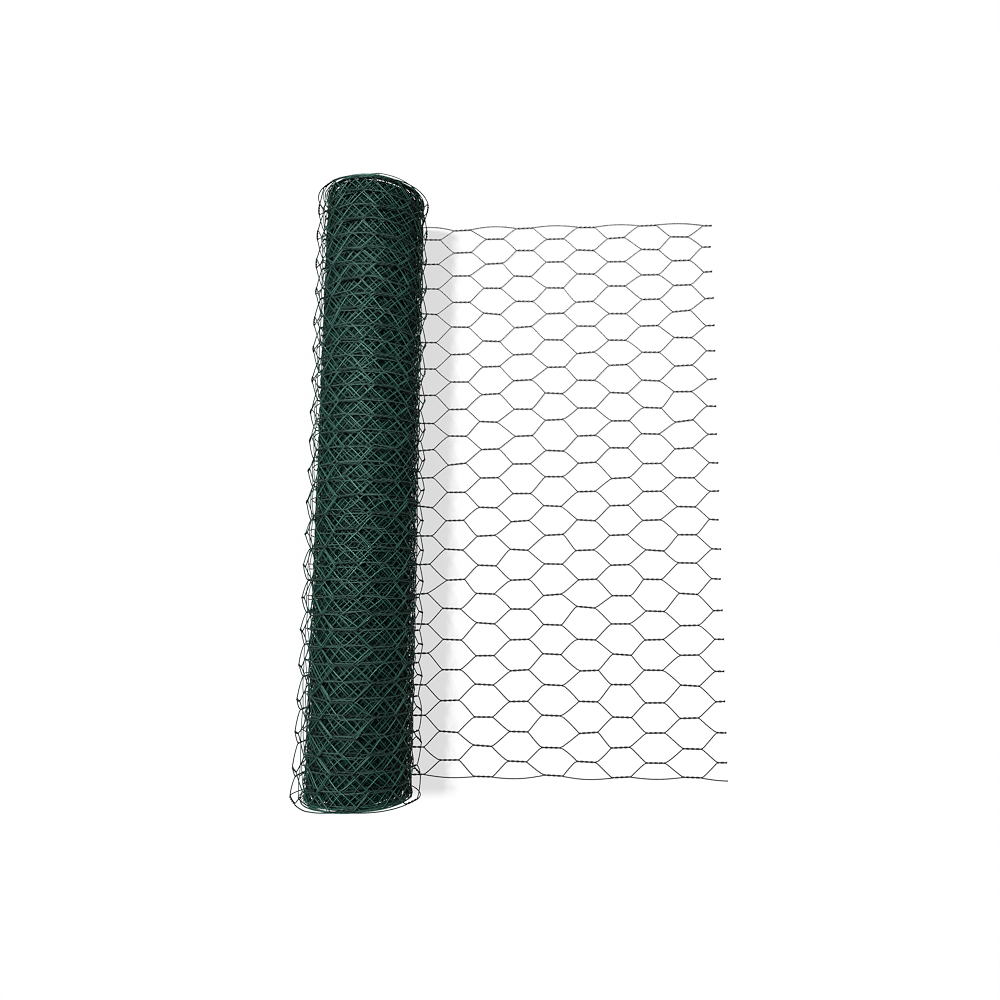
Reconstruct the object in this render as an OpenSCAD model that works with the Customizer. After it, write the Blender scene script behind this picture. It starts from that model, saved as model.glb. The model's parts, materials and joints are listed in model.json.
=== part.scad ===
// Roll of hexagonal wire netting lying on its side, with a flat loose end.
// Millimetres. The roll's axis lies along Y and the loose end runs out towards +X.
// The origin is the middle of the footprint, on the ground.

/* [Netting] */
// Mesh size: spacing of the twists across the netting
mesh_pitch = 25; // [13:0.5:40]
// Half rows of hexagons across the width of the netting (an odd number)
half_rows = 39; // [19:2:59]
// Length of one hexagon along the netting, tip to tip
hexagon_length = 40.5; // [36:0.5:60]
// Length of each twist of two wires
twist_length = 16; // [10:0.5:20]
// Diameter of the coated wire
wire_d = 0.9; // [0.7:0.05:1.4]

/* [Roll] */
// Diameter of the bore through the roll
bore_d = 25; // [16:1:60]
// Number of tight turns
tight_turns = 26; // [10:1:40]
// Thickness that each tight turn adds
turn_pitch = 1.15; // [0.9:0.05:1.6]
// Depth of the valleys between the tight turns, on both ends
turn_valley = 2; // [0.5:0.5:4]
// Space between the tight turns and the loose outer turn, at both sides
side_gap = 3.05; // [1:0.05:10]
// Depth that the loose turn is pressed into the tight turns, above and below
press_depth = 0.4; // [0.2:0.05:0.6]

/* [Loose end] */
// Length of the flat loose end, from below the roll's axis to the cut
loose_length = 294; // [120:1:500]
// Clearance between the loose end and the roll
roll_clearance = 0.05; // [0.02:0.01:0.2]

/* [Part] */
// Which sub-part to show

/* [Hidden] */

// Along the netting, one column of twists follows the last after this distance.
column_pitch = (hexagon_length + twist_length) / 2;
netting_width = half_rows * mesh_pitch / 2;
overall_width = netting_width + wire_d;

bore_r = bore_d / 2;
tight_r = bore_r + tight_turns * turn_pitch;
// The loose turn is round at both sides, and flat by this half width above and below.
loose_flat = side_gap + press_depth;
loose_inner_r = tight_r - press_depth;
loose_middle_r = loose_inner_r + wire_d / 2;
loose_r = loose_inner_r + wire_d;
roll_half = loose_r + loose_flat;

// The part's length along X is shared evenly about the origin.
roll_x = (roll_half - loose_length) / 2;
cut_x = roll_x + loose_length;
// The loose end starts where its upper edge meets the round of the roll.
start_x = roll_x + loose_flat + sqrt(pow(loose_r, 2) - pow(loose_r - wire_d, 2)) + roll_clearance;

// A diagonal wire leans by this angle from the length of the netting.
diagonal_angle = atan2(mesh_pitch / 2, column_pitch - twist_length);
column_count = ceil((cut_x - start_x) / column_pitch) + 1;
full_rows = floor(half_rows / 2);

// The loose turn holds an even number of columns, spread evenly around it.
loose_around = 2 * PI * loose_middle_r + 4 * loose_flat;
turn_columns = 2 * round(loose_around / column_pitch / 2);
turn_column_pitch = loose_around / turn_columns;

green = [0.09, 0.24, 0.19];

// Half length of a hexagon's opening at a height above the line through its tips.
function opening_half(y) =
    hexagon_length / 2 - wire_d / 2 / sin(diagonal_angle) - y / tan(diagonal_angle);

// The angle by which a length of the loose turn bends round.
function bend_angle(length) = length / loose_middle_r * 180 / PI;

// Half width of the straight cut that opens this half length of netting, where the netting
// is flat for a part of it and then bends round as the loose turn does.
function cut_half(half_length, flat) =
    half_length < flat ? half_length : flat + loose_middle_r * sin(bend_angle(half_length - flat));

// Points of one end of the tight turns, from the bore outwards: a ridge for every turn.
function tight_end() = concat(
    [[bore_r, overall_width / 2 - turn_valley]],
    [for (turn = [1 : tight_turns], half = [0.5, 0])
        [bore_r + (turn - half) * turn_pitch, overall_width / 2 - (half > 0 ? 0 : turn_valley)]]
);

function other_end(points) = [for (i = [len(points) - 1 : -1 : 0]) [points[i][0], -points[i][1]]];

// One whole hexagon's opening, about its middle.
module opening(stretch, flat) {
    high = mesh_pitch / 2 - wire_d;
    tip = cut_half(stretch * opening_half(0), flat);
    side = cut_half(stretch * opening_half(high), flat);
    polygon([[-tip, 0], [-side, -high], [side, -high], [tip, 0], [side, high], [-side, high]]);
}

// Half an opening, closed by the selvedge wire.
module half_opening(stretch, flat) {
    low = wire_d / 2;
    high = mesh_pitch / 2 - wire_d;
    wide = cut_half(stretch * opening_half(low), flat);
    narrow = cut_half(stretch * opening_half(high), flat);
    polygon([[-wide, low], [wide, low], [narrow, high], [-narrow, high]]);
}

// The openings of one column: whole ones from one edge, and a half one at the other.
// Every second column is turned over.
module column_of_openings(column, stretch, flat) {
    scale([1, column % 2 == 0 ? 1 : -1]) {
        for (row = [0 : full_rows - 1])
            translate([0, netting_width / 2 - (row + 0.5) * mesh_pitch])
                opening(stretch, flat);
        translate([0, -netting_width / 2])
            half_opening(stretch, flat);
    }
}

// The tight turns, turned about the roll's axis.
module tight_roll() {
    rotate_extrude($fn = 144)
        polygon(concat(tight_end(), other_end(tight_end())));
}

// Outline across the loose turn: two rounds of one radius, joined by flats.
module loose_outline(r) {
    for (side = [-1, 1])
        translate([side * loose_flat, 0])
            circle(r = r, $fn = 144);
    square([2 * loose_flat, 2 * r], center = true);
}

// The openings of one column of the loose turn, cut outwards along X from the axis.
module turn_openings(column, flat) {
    rotate([90, 0, 90])
        linear_extrude(loose_r + wire_d)
            column_of_openings(column, turn_column_pitch / column_pitch, flat);
}

// The loose outer turn: netting that stands off the tight turns at both sides.
// It is left whole below, where the roll lies on the ground.
module loose_turn() {
    top_column = turn_columns / 2;
    difference() {
        linear_extrude(overall_width, center = true)
            difference() {
                loose_outline(loose_r);
                loose_outline(loose_inner_r);
            }
        for (column = [1 : top_column - 1]) {
            angle = bend_angle(column * turn_column_pitch - loose_flat);
            translate([loose_flat, 0, 0])
                rotate([0, 0, angle - 90])
                    turn_openings(column, 0);
            translate([-loose_flat, 0, 0])
                rotate([0, 0, -90 - angle])
                    turn_openings(column, 0);
        }
        rotate([0, 0, 90])
            turn_openings(top_column, loose_flat);
    }
}

// The wound part of the netting, with its axis along Y.
module wound_roll() {
    color(green)
        translate([roll_x, 0, loose_r])
            rotate([90, 0, 0]) {
                tight_roll();
                loose_turn();
            }
}

// The flat loose end, with its columns counted back from the cut.
module loose_end() {
    color(green)
        linear_extrude(wire_d)
            difference() {
                translate([start_x, -overall_width / 2])
                    square([cut_x - start_x, overall_width]);
                for (column = [0 : column_count])
                    translate([cut_x - column * column_pitch, 0])
                        column_of_openings(column, 1, hexagon_length);
            }
}

wound_roll();
loose_end();
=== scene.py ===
"""A roll of green plastic-coated chicken wire, with one loose outer turn and a flat loose end.

The netting is one long sheet of hexagons. Its wires are laid out flat first, as length along the
netting, place across it and height above it, and the sheet is then wound up as the real one is.
Turns are counted inwards from the line where the netting lies below the roll's axis. A place
across the netting is also given as a share of its half width, from -1 at the near edge to 1 at
the far one.
"""
import json
import math

import bpy
import numpy as np
from mathutils import Matrix, Vector


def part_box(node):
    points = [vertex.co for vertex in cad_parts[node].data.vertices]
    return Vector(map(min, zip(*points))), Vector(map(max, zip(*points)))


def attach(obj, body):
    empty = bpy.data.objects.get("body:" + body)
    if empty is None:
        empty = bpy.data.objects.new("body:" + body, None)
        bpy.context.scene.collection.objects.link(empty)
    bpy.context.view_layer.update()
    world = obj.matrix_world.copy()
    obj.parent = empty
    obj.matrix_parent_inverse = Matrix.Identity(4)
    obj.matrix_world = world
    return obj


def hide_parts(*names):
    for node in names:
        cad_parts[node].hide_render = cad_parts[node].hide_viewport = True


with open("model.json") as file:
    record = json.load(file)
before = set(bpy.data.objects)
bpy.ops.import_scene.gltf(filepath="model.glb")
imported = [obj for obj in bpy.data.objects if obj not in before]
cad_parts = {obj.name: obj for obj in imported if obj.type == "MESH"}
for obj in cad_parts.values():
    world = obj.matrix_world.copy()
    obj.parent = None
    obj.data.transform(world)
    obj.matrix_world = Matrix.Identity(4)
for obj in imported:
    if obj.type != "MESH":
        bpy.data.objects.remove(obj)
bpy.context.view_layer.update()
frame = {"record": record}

# Sizes that the frame gives, in metres
roll_low, roll_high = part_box("wound_roll")
loose_low, loose_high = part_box("loose_end")
bore = next(m for m in frame["record"]["mounts"] if m["name"] == "roll_bore")
AXIS_X, _, AXIS_Z = bore["pos_m"]
BORE_R = bore["dims"]["r_mm"] / 1000
CUT_X = loose_high.x
WIRE_D = loose_high.z - loose_low.z
WIDTH = loose_high.y - loose_low.y - WIRE_D
FLAT_LENGTH = CUT_X - AXIS_X
FULL_TURN = 2 * math.pi

# The hexagons. Their columns lie a little askew, and their wires bend softly at the corners.
MESH_PITCH = 0.025
COLUMN_PITCH = 0.02825
HALF_ROWS = round(WIDTH / (MESH_PITCH / 2))
SKEW = 0.0159
CORNER_PULL = 0.0024

# The twists of two wires, which lie closer together where the netting is tightly wound
TWIST_LENGTH = 0.016
TWIST_TURNS = 2
FLAT_TWIST_R, WOUND_TWIST_R = 0.00045, 0.00018
TWIST_STIFFNESS = 0.6
# Painted shade over the whole of each twist, besides that where a wire faces its partner
TWIST_SHADE = 0.85

# Thickness of the wires, as they show in each stretch
FLAT_WIRE_D, LOOSE_WIRE_D, WOUND_WIRE_D, INNER_WIRE_D = 0.00095, 0.00085, 0.00064, 0.00072

# The selvedge wires bow out between their twists, and less so beyond the flat end
SELVEDGE_BULGE, WOUND_BULGE = 0.0022, 0.0007
BULGE_EASES = 0.1
BULGE_SHARES = (0.5, 1.4)

# The winding. The outer turns lie into one another, so each adds less than a wire's thickness.
FLOOR_GAP = 0.00255
TIGHT_R = AXIS_Z - FLOOR_GAP
DEEP_R = 0.0355
OUTER_PITCH, INNER_PITCH = 0.0002, 0.00105
OUTER_TURNS = round((TIGHT_R - DEEP_R) / OUTER_PITCH)
INNER_TURNS = round((DEEP_R - BORE_R) / INNER_PITCH) - 1
ALL_TURNS = 1 + OUTER_TURNS + INNER_TURNS
PATH_POINTS = 30000
# The path starts this far beyond the cut, and each turn moves on by this share of a column
SPARE = 0.02
SPREAD = 0.764

# The loose turn closes down on the tight ones, and the next turns stand off a little at the left
LOOSE_SIDE_R = (roll_high.x - roll_low.x) / 2 - WIRE_D
LOOSE_TOP_R = AXIS_Z - WIRE_D
CLOSING = (0.76, 1.04)
LEFT_BULGES = ((1.25, 0.0034), (2.25, 0.0020), (3.25, 0.0010))
BULGE_TURNS = 0.12

# A column of twists shows end-on at the left of the loose turn. For it, the netting is drawn out
# below the roll, and then pushed together over the top.
LEFT_COLUMN, LEFT_TURN = 13, 0.301
HIDDEN_FROM, HIDDEN_TO = 0.044, 0.25
ROUNDING = 1e-9
TOP_SURPLUS, TOP_TURN = 0.0080, 0.5

# The turns stand wider at the sides: the loose one at its left and right, the tight ones at the right
FLARE_LIMIT = 1.1
LEFT_FLARE, LEFT_FAR_FLARE, LEFT_NEAR_FLARE, NEAR_CORNER_FLARE = 0.0012, 0.0006, 0.0009, 0.0022
RIGHT_FLARE, RIGHT_LEAN = 0.0009, 0.0010
TIGHT_FLARE, TIGHT_LEAN = 0.0017, 0.0005
SETTLING = (1.0, 1.3)

# The netting is pulled in at both edges of the flat end, and at both corners of the loose turn
FLAT_FADES = (0.02, 0.25)
FAR_PULL, FAR_PULL_REACH = 0.0050, 0.028
NEAR_PULL, NEAR_PULL_REACH = 0.0038, 0.018
CORNER_DRAW, CORNER_TURN, CORNER_TURNS, CORNER_FROM = 0.0045, 0.29, 0.09, 0.9

# Wound up, the netting is a little narrower and lies nearer, and it changes over these turns
LOOSE_SHIFT, TIGHT_SHIFT = -0.0035, -0.0012
LOOSE_NARROWER, TIGHT_NARROWER = 0.0125, 0.0105
SHIFTING, NARROWING, TIGHTENING = (0.05, 0.4), (0.3, 0.5), (0.7, 1.0)

# No turn lies quite over the last: it slides along the axis, and its rows wander in waves
TELESCOPE = (-0.0024, 0.0010)
ROW_WANDER = 0.0013
WANDER_LENGTH = 0.17

# How far the netting strays from a perfect lattice
rng = np.random.default_rng(25)
STRAY_ALONG, STRAY_ACROSS, STRAY_HEIGHT = 0.0007, 0.0006, 0.00022
STRAY_TILT = math.radians(2.6)
STRAY_BOW, BOW_HEIGHT = 0.0005, 0.6
# Under the roll, the netting lies on the floor up to this far beyond the axis
UNDER_ROLL = 0.02

# The sleeve that stands for the deep turns, painted dark as their shade
SLEEVE_CLEARANCE = 0.0006
SLEEVE_R = DEEP_R - SLEEVE_CLEARANCE
SLEEVE_SIDES = 96
DEEP_INSET = 0.0018

# How finely a wire is drawn: its sides, its points in half a twist and its points between twists
FINE, MIDDLING, COARSE, COARSEST = (8, 7, 4), (6, 5, 2), (4, 4, 1), (3, 3, 1)
LEAST_FOR_SELVEDGE = (6, 6, 4)

# Where the zigzag wires, the two selvedge wires and the cut ends lie in the map: size and start
MAP_LANES = ((0.8, 0), (0.08, 0.81), (0.08, 0.9))
MAP_CUT_ENDS = 0.995
LANE_MARGIN = 0.05

# Each wire's darker and lighter tone, its shine, and its share of that tone where wires meet.
# The deeper a turn lies, the darker its wires are painted and the less they shine: painted shade of the
# turns above. The flat end's wires are painted grey, as they show against the white floor.
WIRE_SHADES = {
    "coated_wire": ((0.010, 0.053, 0.040, 1), (0.021, 0.095, 0.072, 1), 1.0, 0.17),
    "second_wire": ((0.008, 0.044, 0.033, 1), (0.017, 0.078, 0.059, 1), 0.8, 0.17),
    "third_wire": ((0.005, 0.028, 0.021, 1), (0.011, 0.050, 0.038, 1), 0.6, 0.17),
    "fourth_wire": ((0.003, 0.016, 0.012, 1), (0.006, 0.028, 0.021, 1), 0.3, 0.17),
    "flat_wire": ((0.053, 0.053, 0.052, 1), (0.075, 0.075, 0.074, 1), 0.1, 0.7),
    "loose_wire": ((0.007, 0.028, 0.022, 1), (0.014, 0.048, 0.038, 1), 0.5, 0.17),
}

# The stretches from the cut inwards: piece, turn where it ends, fineness, wire and thickness
STRETCHES = (
    ("loose_end_netting", 0.02, FINE, "flat_wire", FLAT_WIRE_D),
    ("loose_turn_netting", 1, FINE, "loose_wire", LOOSE_WIRE_D),
    ("outer_turns_netting", 4, MIDDLING, "coated_wire", WOUND_WIRE_D),
    ("turns_4_to_8", 8, COARSE, "second_wire", WOUND_WIRE_D),
    ("turns_8_to_13", 13, COARSE, "third_wire", WOUND_WIRE_D),
    ("turns_13_to_20", 20, COARSEST, "fourth_wire", WOUND_WIRE_D),
    ("turns_20_to_25", 1 + OUTER_TURNS, COARSEST, "fourth_wire", WOUND_WIRE_D),
)


def smooth_step(low, high, value):
    """Rises smoothly from 0 at the low value to 1 at the high one."""
    share = np.clip((value - low) / (high - low), 0, 1)
    return share * share * (3 - 2 * share)


def spread_turns(turns, length):
    """Length to add by the turn, so that one turn's wires lie over the last one's openings."""
    first = np.interp(1, turns, length) / COLUMN_PITCH
    slip = [0, 0]
    for turn in range(2, OUTER_TURNS + 2):
        lies_at = np.interp(turn, turns, length) / COLUMN_PITCH
        miss = first + SPREAD * (turn - 1) - lies_at
        slip.append(miss - 2 * round((miss - slip[-1]) / 2))
    return np.interp(turns, np.arange(len(slip)), slip) * COLUMN_PITCH


def winding_path():
    """The netting's middle line from the cut to the bore, as a table by length of netting."""
    turns = np.linspace(0, ALL_TURNS, PATH_POINTS)
    angle = turns * FULL_TURN
    loose = LOOSE_TOP_R + (LOOSE_SIDE_R - LOOSE_TOP_R) * np.sin(angle) ** 2
    tight = np.interp(
        turns,
        [1, 1 + OUTER_TURNS, ALL_TURNS],
        [TIGHT_R - OUTER_PITCH / 2, DEEP_R, BORE_R + INNER_PITCH / 2],
    )
    standing_off = sum(
        bulge * np.exp(-(((turns - turn) / BULGE_TURNS) ** 2)) for turn, bulge in LEFT_BULGES
    )
    radius = loose + (tight + standing_off - loose) * smooth_step(*CLOSING, turns)
    x = np.concatenate([[CUT_X + SPARE, AXIS_X + HIDDEN_FROM], AXIS_X - radius * np.sin(angle)])
    z = np.concatenate([[WIRE_D, WIRE_D], AXIS_Z - radius * np.cos(angle)])
    turns = np.concatenate([[0, 0], turns])
    bend = np.concatenate([[0, 0], 1 / radius])
    step = np.hypot(np.diff(x), np.diff(z))
    # Below the roll the netting is drawn out a little
    to_left = np.cumsum(step)[np.searchsorted(turns, LEFT_TURN) - 1] - SPARE
    hidden = (x[1:] < AXIS_X + HIDDEN_FROM - ROUNDING) & (turns[1:] <= HIDDEN_TO)
    surplus = to_left - LEFT_COLUMN * COLUMN_PITCH
    step[hidden] *= 1 - surplus / step[hidden].sum()
    length = np.concatenate([[0], np.cumsum(step)]) - SPARE
    # Over the top of the loose turn it is pushed together a little
    length = length + TOP_SURPLUS * smooth_step(LEFT_TURN, TOP_TURN, turns)
    length = length + spread_turns(turns, length)
    return {"length": length, "x": x, "z": z, "turns": turns, "bend": bend}


path = winding_path()
COLUMNS = int(path["length"][-1] / COLUMN_PITCH)
turn_count = OUTER_TURNS + INNER_TURNS + 3
turn_shift = np.concatenate([[0, 0], rng.uniform(*TELESCOPE, turn_count)])
row_wander = np.concatenate([np.zeros((2, 2)), rng.normal(0, ROW_WANDER, (turn_count, 2))])


def along_path(name, length):
    """A column of the path's table, at lengths of netting from the cut."""
    return np.interp(length, path["length"], path[name])


def column_at(turns):
    """The column of twists that lies nearest to a number of turns."""
    return round(float(np.interp(turns, path["turns"], path["length"])) / COLUMN_PITCH)


def flare(turns, from_middle):
    """How much wider the turns stand at the sides: the loose one most of all at its near left."""
    far = np.clip(from_middle, 0, FLARE_LIMIT)
    near = np.clip(-from_middle, 0, FLARE_LIMIT)
    left = LEFT_FLARE + LEFT_FAR_FLARE * far + LEFT_NEAR_FLARE * near + NEAR_CORNER_FLARE * near**6
    right = RIGHT_FLARE - RIGHT_LEAN * from_middle
    outermost = np.clip((1 + OUTER_TURNS - turns) / OUTER_TURNS, 0, 1) * smooth_step(*SETTLING, turns)
    sideways = np.sin(turns * FULL_TURN)
    tight = (TIGHT_FLARE + TIGHT_LEAN * from_middle) * outermost * (sideways < 0)
    return np.where(turns < 0.5, left, np.where(turns < 1, right, tight)) * sideways**2


def drawn_in(turns, from_middle):
    """How far the netting is pulled in at its edges, flat and where the loose turn is widest."""
    from_edge = (1 - np.abs(from_middle)) * WIDTH / 2
    flat = 1 - smooth_step(*FLAT_FADES, turns)
    far = FAR_PULL * np.exp(-from_edge / FAR_PULL_REACH) * (from_middle > 0) * flat
    near = NEAR_PULL * np.exp(-from_edge / NEAR_PULL_REACH) * (from_middle < 0) * flat
    at_corner = np.exp(-(((turns - CORNER_TURN) / CORNER_TURNS) ** 2))
    at_edge = np.clip((np.abs(from_middle) - CORNER_FROM) / (1 - CORNER_FROM), 0, 1)
    return near - far - CORNER_DRAW * at_corner * at_edge * np.sign(from_middle)


def by_turn(values, turns):
    """A value that is given for each whole turn, in between them too."""
    return np.interp(turns, np.arange(len(values)), values)


def wind_up(points):
    """Moves points from the flat sheet (length, across, height) to their places in the roll."""
    length, across, height = np.moveaxis(points, -1, 0)
    length = length - SKEW * across
    nudge = 0.0004
    turns = along_path("turns", length)
    step_x = along_path("x", length + nudge) - along_path("x", length - nudge)
    step_z = along_path("z", length + nudge) - along_path("z", length - nudge)
    size = np.hypot(step_x, step_z)
    inward_x, inward_z = step_z / size, -step_x / size
    from_middle = across / (WIDTH / 2)
    height = height - flare(turns, from_middle)
    across = across + drawn_in(turns, from_middle)
    across = across * (1 - LOOSE_NARROWER * smooth_step(*NARROWING, turns))
    across = across * (1 + (LOOSE_NARROWER - TIGHT_NARROWER) * smooth_step(*TIGHTENING, turns))
    wave = FULL_TURN * across / WANDER_LENGTH
    across = across + LOOSE_SHIFT + (TIGHT_SHIFT - LOOSE_SHIFT) * smooth_step(*TIGHTENING, turns)
    across = across - LOOSE_SHIFT * (1 - smooth_step(*SHIFTING, turns))
    across = across + by_turn(turn_shift, turns)
    sway = by_turn(row_wander[:, 0], turns) * np.sin(wave)
    sway = sway + by_turn(row_wander[:, 1], turns) * np.cos(wave)
    across = across + sway * (1 - from_middle**4)
    placed = np.stack(
        [
            along_path("x", length) + inward_x * height,
            across,
            along_path("z", length) + inward_z * height,
        ],
        axis=-1,
    )
    inward = np.stack([inward_x, np.zeros_like(inward_x), inward_z], axis=-1)
    return placed, inward


def lattice():
    """Where each twist of the netting lies, by column and row, and how it strays."""
    shape = (COLUMNS + 1, HALF_ROWS + 1)
    column, row = np.meshgrid(np.arange(shape[0]), np.arange(shape[1]), indexing="ij")
    height = rng.normal(0, STRAY_HEIGHT, shape)
    # On the floor a twist can only stray upwards
    lies_flat = column * COLUMN_PITCH < FLAT_LENGTH + UNDER_ROLL
    return {
        "along": column * COLUMN_PITCH + rng.normal(0, STRAY_ALONG, shape),
        "across": (row - HALF_ROWS / 2) * MESH_PITCH / 2 + rng.normal(0, STRAY_ACROSS, shape),
        "height": np.where(lies_flat, np.abs(height), height),
        "tilt": rng.normal(0, STRAY_TILT, shape),
    }


twists = lattice()


def twist_points(column, row, side, reach):
    """Points of one wire of a twist, at reaches from its middle, and the way to the other wire."""
    along, across = twists["along"][column, row], twists["across"][column, row]
    height, tilt = twists["height"][column, row], twists["tilt"][column, row]
    phase = FULL_TURN * TWIST_TURNS * (reach / TWIST_LENGTH + 0.5)
    apart = side * np.interp(along_path("turns", along), SETTLING, (FLAT_TWIST_R, WOUND_TWIST_R))
    in_plane, out_of_plane = apart * np.cos(phase), apart * np.sin(phase)
    # A twist stays straighter than the turn that it lies in
    bend = along_path("bend", along)
    straighter = TWIST_STIFFNESS * bend * ((TWIST_LENGTH / 2) ** 2 - reach**2) / 2
    points = np.stack(
        np.broadcast_arrays(
            along + reach * np.cos(tilt) - in_plane * np.sin(tilt),
            across + reach * np.sin(tilt) + in_plane * np.cos(tilt),
            height + out_of_plane + straighter,
        ),
        axis=-1,
    )
    partner = np.stack(
        np.broadcast_arrays(-side * np.cos(phase), -side * np.sin(phase) + 0 * tilt), axis=-1
    )
    return points, partner


def between(start, end, start_tilt, end_tilt, share, bow):
    """A wire from one twist to the next: a curve that leaves and arrives along the twists."""
    h = share
    start_way = np.stack([np.cos(start_tilt), np.sin(start_tilt), 0 * start_tilt], axis=-1)
    end_way = np.stack([np.cos(end_tilt), np.sin(end_tilt), 0 * end_tilt], axis=-1)
    curve = (
        (2 * h**3 - 3 * h**2 + 1) * start
        + (h**3 - 2 * h**2 + h) * (start_way * CORNER_PULL)
        + (3 * h**2 - 2 * h**3) * end
        + (h**3 - h**2) * (end_way * CORNER_PULL)
    )
    return curve + bow * (4 * h * (1 - h))


def strand_lines(strands, first, last, twist_steps, between_steps):
    """Middle lines of zigzag wires from one column's middle to another's."""
    strand = np.array(strands)[:, None, None]
    count = len(strands)
    column = np.arange(first, last)[None, :, None]
    half = np.linspace(0, TWIST_LENGTH / 2, twist_steps + 1)[None, None, :]
    share = np.linspace(0, 1, between_steps + 2)[1:-1][None, None, :, None]

    def at(column):
        up = (strand + column + 1) % 2
        return strand + up, 1 - 2 * up

    row, side = at(column)
    next_row, next_side = at(column + 1)
    leaving, leaving_partner = twist_points(column, row, side, half)
    arriving, arriving_partner = twist_points(column + 1, next_row, next_side, half - TWIST_LENGTH / 2)
    shape = (count, last - first, 1, 1)
    bow = np.zeros((count, last - first, 1, 3))
    bow[..., 1:2] = rng.normal(0, STRAY_BOW, shape)
    bow[..., 2:3] = np.abs(rng.normal(0, STRAY_BOW, shape)) * BOW_HEIGHT
    middle = between(
        leaving[:, :, -1:, :],
        arriving[:, :, :1, :],
        twists["tilt"][column, row],
        twists["tilt"][column + 1, next_row],
        share,
        bow,
    )
    points = np.concatenate([leaving, middle, arriving[:, :, :-1]], axis=2)
    no_partner = np.zeros(middle.shape[:3] + (2,))
    partner = np.concatenate([leaving_partner, no_partner, arriving_partner[:, :, :-1]], axis=2)
    lines = points.reshape(count, -1, 3)
    last_point, last_partner = arriving[:, -1, -1:], arriving_partner[:, -1, -1:]
    return (
        np.concatenate([lines, last_point], axis=1),
        np.concatenate([partner.reshape(count, -1, 2), last_partner], axis=1),
    )


def selvedge_line(edge, first, last, twist_steps, between_steps):
    """Middle line of the wire along one edge: twisted in at every second column, bowed between."""
    row = np.array(HALF_ROWS if edge > 0 else 0)
    half = np.linspace(0, TWIST_LENGTH / 2, twist_steps + 1)
    share = np.linspace(0, 1, 2 * between_steps + 3)
    points, partners = [], []
    bulges = rng.uniform(*BULGE_SHARES, COLUMNS + 2)
    for column in range(first, last):
        twisted = (column % 2 == 0) == (edge > 0)
        before, after = (column, column + 2) if twisted else (column - 1, column + 1)
        end, end_partner = twist_points(np.array(min(after, COLUMNS)), row, edge, half - TWIST_LENGTH / 2)
        start, start_partner = twist_points(np.array(max(before, 0)), row, edge, half)
        leaving = start[-1] if before >= 0 else end[0] * (-1, 1, 1)
        arc = leaving + (end[0] - leaving) * share[:, None]
        eased = (FLAT_LENGTH, FLAT_LENGTH + BULGE_EASES)
        bulge = np.interp(column * COLUMN_PITCH, eased, (SELVEDGE_BULGE, WOUND_BULGE))
        arc[:, 1] += np.sin(math.pi * share) * bulge * bulges[after] * edge
        if twisted:
            part = np.concatenate([start, arc[1 : between_steps + 1]])
            way = np.concatenate([start_partner, np.zeros((between_steps, 2))])
        else:
            part = np.concatenate([arc[between_steps + 1 : -1], end[:-1]])
            way = np.concatenate([np.zeros((between_steps + 1, 2)), end_partner[:-1]])
        points.append(part)
        partners.append(way)
    return np.concatenate(points)[None], np.concatenate(partners)[None]


def tubes(lines, partners, sides, thickness):
    """Round wires along middle lines: corners, faces, a map for each face corner and the painted crevice
    shade.
    """
    placed, inward = wind_up(lines)
    count, rings = placed.shape[:2]
    way = np.gradient(placed, axis=1)
    way /= np.linalg.norm(way, axis=-1, keepdims=True)
    up = inward - way * np.sum(inward * way, axis=-1, keepdims=True)
    up /= np.linalg.norm(up, axis=-1, keepdims=True)
    out = np.cross(way, up)
    angle = np.arange(sides) * FULL_TURN / sides
    around = (
        up[:, :, None] * np.cos(angle)[None, None, :, None]
        + out[:, :, None] * np.sin(angle)[None, None, :, None]
    )
    corners = placed[:, :, None] + around * thickness / 2
    facing = partners[..., 1, None] * np.cos(angle) + partners[..., 0, None] * np.sin(angle)
    twisted = np.any(partners != 0, axis=-1)[..., None]
    number = np.arange(count * rings * sides).reshape(count, rings, sides)
    here, there = number[:, :-1], number[:, 1:]
    faces = np.stack([here, np.roll(here, -1, axis=2), np.roll(there, -1, axis=2), there], axis=-1)
    wire, ring, side = np.meshgrid(
        np.arange(count), np.arange(rings - 1), np.arange(sides), indexing="ij"
    )
    across = np.stack([side, side + 1, side + 1, side], axis=-1) / sides
    along = np.stack([ring, ring, ring + 1, ring + 1], axis=-1) / (rings - 1)
    lane = (wire[..., None] + LANE_MARGIN + (1 - 2 * LANE_MARGIN) * across) / count
    return {
        "corners": corners.reshape(-1, 3),
        # Painted shade where a wire faces the other wire of its twist, and over the whole of every twist
        "crevice": np.maximum(np.clip(facing, 0, 1) ** 2, TWIST_SHADE * twisted).reshape(-1),
        "faces": faces.reshape(-1, 4),
        "map": np.stack([along, lane], axis=-1).reshape(-1, 2),
        "cut_ends": np.concatenate([number[:, 0, ::-1], number[:, -1]]),
    }


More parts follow.
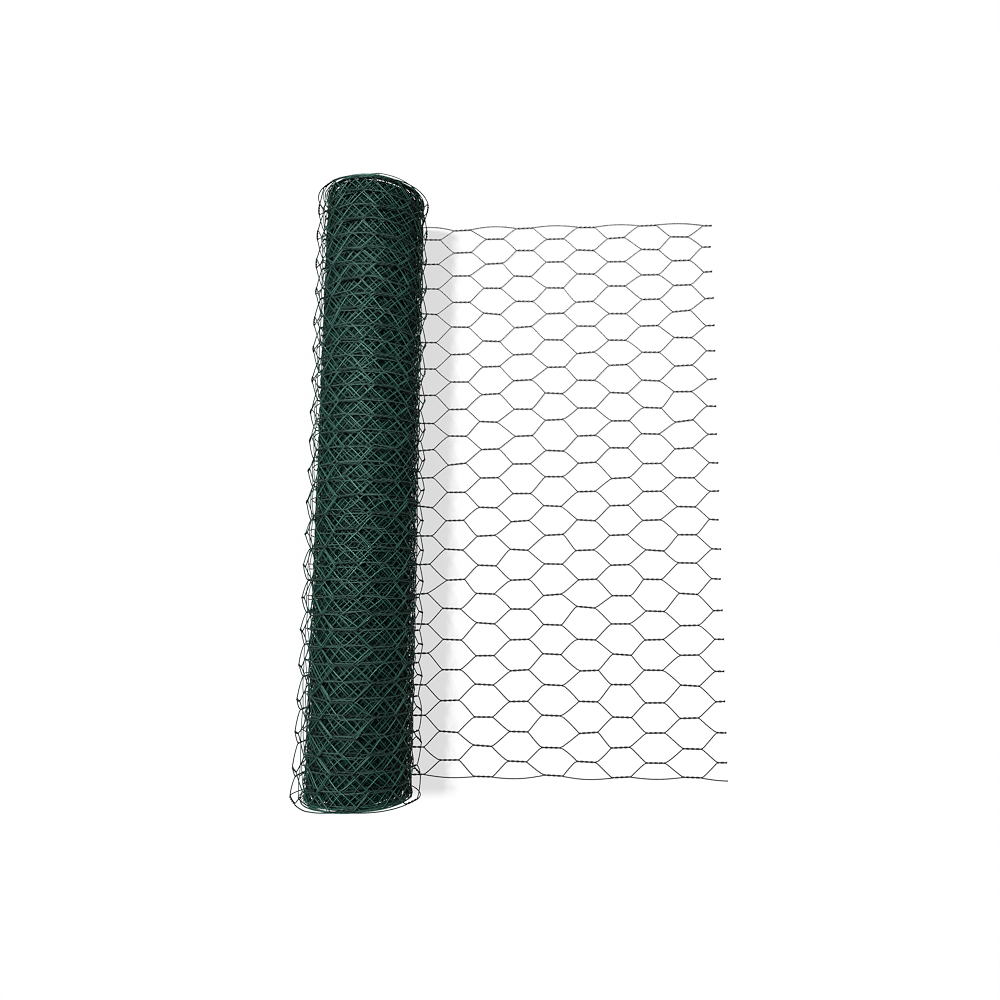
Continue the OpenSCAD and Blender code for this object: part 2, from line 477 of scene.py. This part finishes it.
def netting_piece(name, strands, first, last, fineness, material, thickness):
    """One stretch of the netting as a mesh: its zigzag wires and both selvedge wires."""
    sides, *steps = fineness
    wires = [tubes(*strand_lines(strands, first, last, *steps), sides, thickness)]
    sides, *steps = [max(pair) for pair in zip(fineness, LEAST_FOR_SELVEDGE)]
    for edge in (-1, 1):
        wires.append(tubes(*selvedge_line(edge, first, last, *steps), sides, thickness))
    starts = np.cumsum([0] + [len(w["corners"]) for w in wires])
    quads = np.concatenate([w["faces"] + start for w, start in zip(wires, starts)])
    cut_ends = [(end + start).tolist() for w, start in zip(wires, starts) for end in w["cut_ends"]]
    corners = np.concatenate([w["corners"] for w in wires])
    mesh = bpy.data.meshes.new(name)
    mesh.from_pydata(corners.tolist(), [], quads.tolist() + cut_ends)
    bake_map = mesh.uv_layers.new(name="OFBake")
    places = [w["map"] * (1, size) + (0, start) for w, (size, start) in zip(wires, MAP_LANES)]
    places.append(np.full((sum(len(end) for end in cut_ends), 2), MAP_CUT_ENDS))
    bake_map.data.foreach_set("uv", np.concatenate(places).ravel())
    # The painted shade in the twists, which the wire material reads
    crevice = mesh.attributes.new("crevice", "FLOAT", "POINT")
    crevice.data.foreach_set("value", np.concatenate([w["crevice"] for w in wires]))
    mesh.polygons.foreach_set("use_smooth", np.ones(len(mesh.polygons), bool))
    mesh.materials.append(material)
    piece = bpy.data.objects.new(name, mesh)
    bpy.context.scene.collection.objects.link(piece)
    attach(piece, "root")
    return piece


def deep_turns_sleeve(material):
    """The turns too deep to see apart: a sleeve painted dark as their shade, with the bore through it."""
    bpy.ops.object.select_all(action="DESELECT")
    bpy.ops.mesh.primitive_cylinder_add(
        vertices=SLEEVE_SIDES,
        radius=SLEEVE_R,
        depth=WIDTH * (1 - TIGHT_NARROWER) - 2 * DEEP_INSET,
        location=(AXIS_X, TIGHT_SHIFT, AXIS_Z),
        rotation=(math.pi / 2, 0, 0),
    )
    sleeve = bpy.context.object
    sleeve.name = "deep_turns"
    bpy.ops.object.mode_set(mode="EDIT")
    bpy.ops.mesh.select_mode(type="FACE")
    bpy.ops.mesh.select_all(action="DESELECT")
    bpy.ops.mesh.select_face_by_sides(number=4, type="GREATER")
    bpy.ops.mesh.inset(thickness=SLEEVE_R - BORE_R)
    bpy.ops.mesh.bridge_edge_loops()
    bpy.ops.object.mode_set(mode="OBJECT")
    bpy.ops.object.transform_apply(location=True, rotation=True, scale=True)
    sleeve.data.materials.append(material)
    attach(sleeve, "root")
    return sleeve


def node_at(tree, kind, x, y, **settings):
    """A new node at a place in its tree, with its settings."""
    node = tree.nodes.new(kind)
    node.location = (x, y)
    for name, value in settings.items():
        setattr(node, name, value)
    return node


def coating_group():
    """The plastic coating's uneven colour, gloss and fine grain, shared by all the wires."""
    group = bpy.data.node_groups.new("green_coating", "ShaderNodeTree")
    for name in ("Dark", "Light"):
        group.interface.new_socket(name, in_out="INPUT", socket_type="NodeSocketColor")
    group.interface.new_socket("Color", in_out="OUTPUT", socket_type="NodeSocketColor")
    group.interface.new_socket("Roughness", in_out="OUTPUT", socket_type="NodeSocketFloat")
    group.interface.new_socket("Height", in_out="OUTPUT", socket_type="NodeSocketFloat")
    shades = node_at(group, "NodeGroupInput", -600, 300)
    place = node_at(group, "ShaderNodeTexCoord", -1100, 0)
    patches = node_at(group, "ShaderNodeTexNoise", -900, 150)
    patches.inputs["Scale"].default_value = 90
    patches.inputs["Detail"].default_value = 3
    spread = node_at(group, "ShaderNodeMapRange", -600, 100)
    spread.inputs["From Min"].default_value = 0.3
    spread.inputs["From Max"].default_value = 0.75
    green = node_at(group, "ShaderNodeMix", -300, 200, data_type="RGBA")
    gloss = node_at(group, "ShaderNodeMapRange", -300, -50)
    gloss.inputs["To Min"].default_value = 0.36
    gloss.inputs["To Max"].default_value = 0.50
    grain = node_at(group, "ShaderNodeTexNoise", -600, -300)
    grain.inputs["Scale"].default_value = 900
    result = node_at(group, "NodeGroupOutput", 0, 0)
    link = group.links.new
    link(place.outputs["Object"], patches.inputs["Vector"])
    link(place.outputs["Object"], grain.inputs["Vector"])
    link(patches.outputs["Fac"], spread.inputs["Value"])
    link(spread.outputs["Result"], green.inputs["Factor"])
    link(shades.outputs["Dark"], green.inputs["A"])
    link(shades.outputs["Light"], green.inputs["B"])
    link(patches.outputs["Fac"], gloss.inputs["Value"])
    link(green.outputs["Result"], result.inputs["Color"])
    link(gloss.outputs["Result"], result.inputs["Roughness"])
    link(grain.outputs["Fac"], result.inputs["Height"])
    return group


def coated_wire_material(name, coating, dark, light, shine, shade):
    """Plastic on steel wire: satin, a little uneven, with painted shade and more roughness where two
    wires meet.
    """
    material = bpy.data.materials.new(name)
    material.use_nodes = True
    tree = material.node_tree
    shader = tree.nodes["Principled BSDF"]
    coat = node_at(tree, "ShaderNodeGroup", -700, 200, node_tree=coating)
    coat.inputs["Dark"].default_value = dark
    coat.inputs["Light"].default_value = light
    # Painted shade: the colour is darkened where two wires meet
    crevice = node_at(tree, "ShaderNodeAttribute", -700, -80, attribute_name="crevice")
    darker = node_at(tree, "ShaderNodeMix", -350, 200, data_type="RGBA", blend_type="MULTIPLY")
    darker.inputs["B"].default_value = (shade, shade, shade, 1)
    duller = node_at(tree, "ShaderNodeMath", -350, 0, operation="MULTIPLY_ADD")
    duller.inputs[1].default_value = 0.3
    bump = node_at(tree, "ShaderNodeBump", -350, -200)
    bump.inputs["Strength"].default_value = 0.15
    bump.inputs["Distance"].default_value = 0.0002
    link = tree.links.new
    link(coat.outputs["Color"], darker.inputs["A"])
    link(crevice.outputs["Fac"], darker.inputs["Factor"])
    link(darker.outputs["Result"], shader.inputs["Base Color"])
    link(crevice.outputs["Fac"], duller.inputs[0])
    link(coat.outputs["Roughness"], duller.inputs[2])
    link(duller.outputs["Value"], shader.inputs["Roughness"])
    link(coat.outputs["Height"], bump.inputs["Height"])
    link(bump.outputs["Normal"], shader.inputs["Normal"])
    shader.inputs["Specular IOR Level"].default_value = shine
    shader.inputs["Specular Tint"].default_value = (0.6, 1, 0.9, 1)
    return material


def deep_material(coating):
    """The painted shade between the deep turns: a dark green for them in the shade of the turns above."""
    material = bpy.data.materials.new("deep_turns")
    material.use_nodes = True
    tree = material.node_tree
    shader = tree.nodes["Principled BSDF"]
    coat = node_at(tree, "ShaderNodeGroup", -400, 0, node_tree=coating)
    coat.inputs["Dark"].default_value = (0.002, 0.010, 0.008, 1)
    coat.inputs["Light"].default_value = (0.008, 0.030, 0.023, 1)
    shader.inputs["Specular IOR Level"].default_value = 0.05
    shader.inputs["Roughness"].default_value = 0.8
    tree.links.new(coat.outputs["Color"], shader.inputs["Base Color"])
    return material


def brighter_when_seen(tree, strength, given, seen):
    """Sets how strong a glow is for the wires, and how strong where the camera sees it."""
    ray = node_at(tree, "ShaderNodeLightPath", -500, -200)
    glow = node_at(tree, "ShaderNodeMapRange", -250, -200)
    glow.inputs["To Min"].default_value = given
    glow.inputs["To Max"].default_value = seen
    tree.links.new(ray.outputs["Is Camera Ray"], glow.inputs["Value"])
    tree.links.new(glow.outputs["Result"], strength)


def floor_material():
    """A matt pale floor that shows white."""
    material = bpy.data.materials.new("pale_floor")
    material.use_nodes = True
    tree = material.node_tree
    shader = tree.nodes["Principled BSDF"]
    shader.inputs["Base Color"].default_value = (0.235, 0.235, 0.235, 1)
    shader.inputs["Emission Color"].default_value = (1, 1, 1, 1)
    shader.inputs["Roughness"].default_value = 0.9
    shader.inputs["Specular IOR Level"].default_value = 0.1
    brighter_when_seen(tree, shader.inputs["Emission Strength"], given=0.24, seen=0.68)
    return material


def soft_lamp(name, place, aim, energy, spread, lit):
    """A round lamp that lights only the pieces it is given."""
    light = bpy.data.lights.new(name, "AREA")
    light.shape = "DISK"
    light.size = 0.2
    light.spread = math.radians(spread)
    light.energy = energy
    lamp = bpy.data.objects.new(name, light)
    lamp.location = place
    lamp_way = Vector(aim) - Vector(place)
    lamp.rotation_euler = lamp_way.to_track_quat("-Z", "Y").to_euler()
    bpy.context.scene.collection.objects.link(lamp)
    receivers = bpy.data.collections.new(name + "_lights")
    for piece in lit:
        receivers.objects.link(piece)
    lamp.light_linking.receiver_collection = receivers


# The netting, stretch by stretch. Of the inner turns only the wires at both ends can be seen.
coating = coating_group()
materials = {
    name: coated_wire_material(name, coating, *shades) for name, shades in WIRE_SHADES.items()
}
every_strand = range(HALF_ROWS)
end_strands = [0, HALF_ROWS - 1]
pieces = {}
first = 0
for name, ends_at, fineness, wire, thickness in STRETCHES:
    last = column_at(ends_at)
    pieces[name] = netting_piece(
        name, every_strand, first, last, fineness, materials[wire], thickness
    )
    first = last
pieces["inner_turns_ends"] = netting_piece(
    "inner_turns_ends", end_strands, first, COLUMNS, MIDDLING, materials["coated_wire"], INNER_WIRE_D
)
deep_turns_sleeve(deep_material(coating))
flat_end, outer_turns = pieces["loose_end_netting"], pieces["outer_turns_netting"]
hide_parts("loose_end")
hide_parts("wound_roll")

# The pale floor
bpy.ops.object.select_all(action="DESELECT")
bpy.ops.mesh.primitive_plane_add(size=6, location=(0, 0, 0))
floor = bpy.context.object
floor.name = "floor"
floor.data.materials.append(floor_material())

# White all around
world = bpy.data.worlds.new("studio")
bpy.context.scene.world = world
world.use_nodes = True
backdrop = world.node_tree.nodes["Background"]
backdrop.inputs["Color"].default_value = (1, 1, 1, 1)
brighter_when_seen(world.node_tree, backdrop.inputs["Strength"], given=0.22, seen=0.9)

# Light from the upper left
key = bpy.data.lights.new("key", "SUN")
key.energy = 4.0
key.angle = math.radians(6)
key_place = bpy.data.objects.new("key", key)
key_place.location = (-0.5, 0.1, 1)
key_way = Vector((0.44, -0.12, -1))
key_place.rotation_euler = key_way.to_track_quat("-Z", "Y").to_euler()
bpy.context.scene.collection.objects.link(key_place)

# Soft lamps above the far end of the roll and beyond the far edge of the flat end.
# Neither of them lights the floor.
soft_lamp(
    "roll_lamp",
    place=(-0.15, 0.24, 0.62),
    aim=(AXIS_X, 0.01, AXIS_Z),
    energy=0.55,
    spread=62,
    lit=[piece for piece in pieces.values() if piece != flat_end],
)
soft_lamp(
    "flat_lamp",
    place=(0.05, 0.38, 0.40),
    aim=(0.05, 0.20, 0),
    energy=2.5,
    spread=80,
    lit=[flat_end],
)

# The camera, above the flat end and a little towards the near end
camera_data = bpy.data.cameras.new("camera")
camera_data.sensor_width = 36
camera_data.lens = 23.85
camera_data.clip_start = 0.01
camera = bpy.data.objects.new("camera", camera_data)
camera_place = Vector((0.00246, -0.09504, 0.56728))
camera_right = Vector((0.99939, 0.00082, -0.03504))
camera_up = Vector((0.00420, 0.98971, 0.14303))
camera_back = camera_right.cross(camera_up)
turned = Matrix((camera_right, camera_up, camera_back)).transposed().to_4x4()
camera.matrix_world = Matrix.Translation(camera_place) @ turned
bpy.context.scene.collection.objects.link(camera)
bpy.context.scene.camera = camera
bpy.context.scene.view_settings.view_transform = "Standard"

# The picture is sharpened as the photograph is, in the tones that a screen shows
SCREEN_GAMMA = 2.2
bpy.context.scene.use_nodes = True
picture = bpy.context.scene.node_tree
picture.nodes.clear()
rendered = node_at(picture, "CompositorNodeRLayers", 0, 0)
as_shown = node_at(picture, "CompositorNodeGamma", 300, 0)
as_shown.inputs["Gamma"].default_value = 1 / SCREEN_GAMMA
sharper = node_at(picture, "CompositorNodeFilter", 500, 0, filter_type="SHARPEN_DIAMOND")
sharper.inputs["Fac"].default_value = 0.22
as_light = node_at(picture, "CompositorNodeGamma", 700, 0)
as_light.inputs["Gamma"].default_value = SCREEN_GAMMA
finished = node_at(picture, "CompositorNodeComposite", 900, 0)
picture.links.new(rendered.outputs["Image"], as_shown.inputs["Image"])
picture.links.new(as_shown.outputs["Image"], sharper.inputs["Image"])
picture.links.new(sharper.outputs["Image"], as_light.inputs["Image"])
picture.links.new(as_light.outputs["Image"], finished.inputs["Image"])
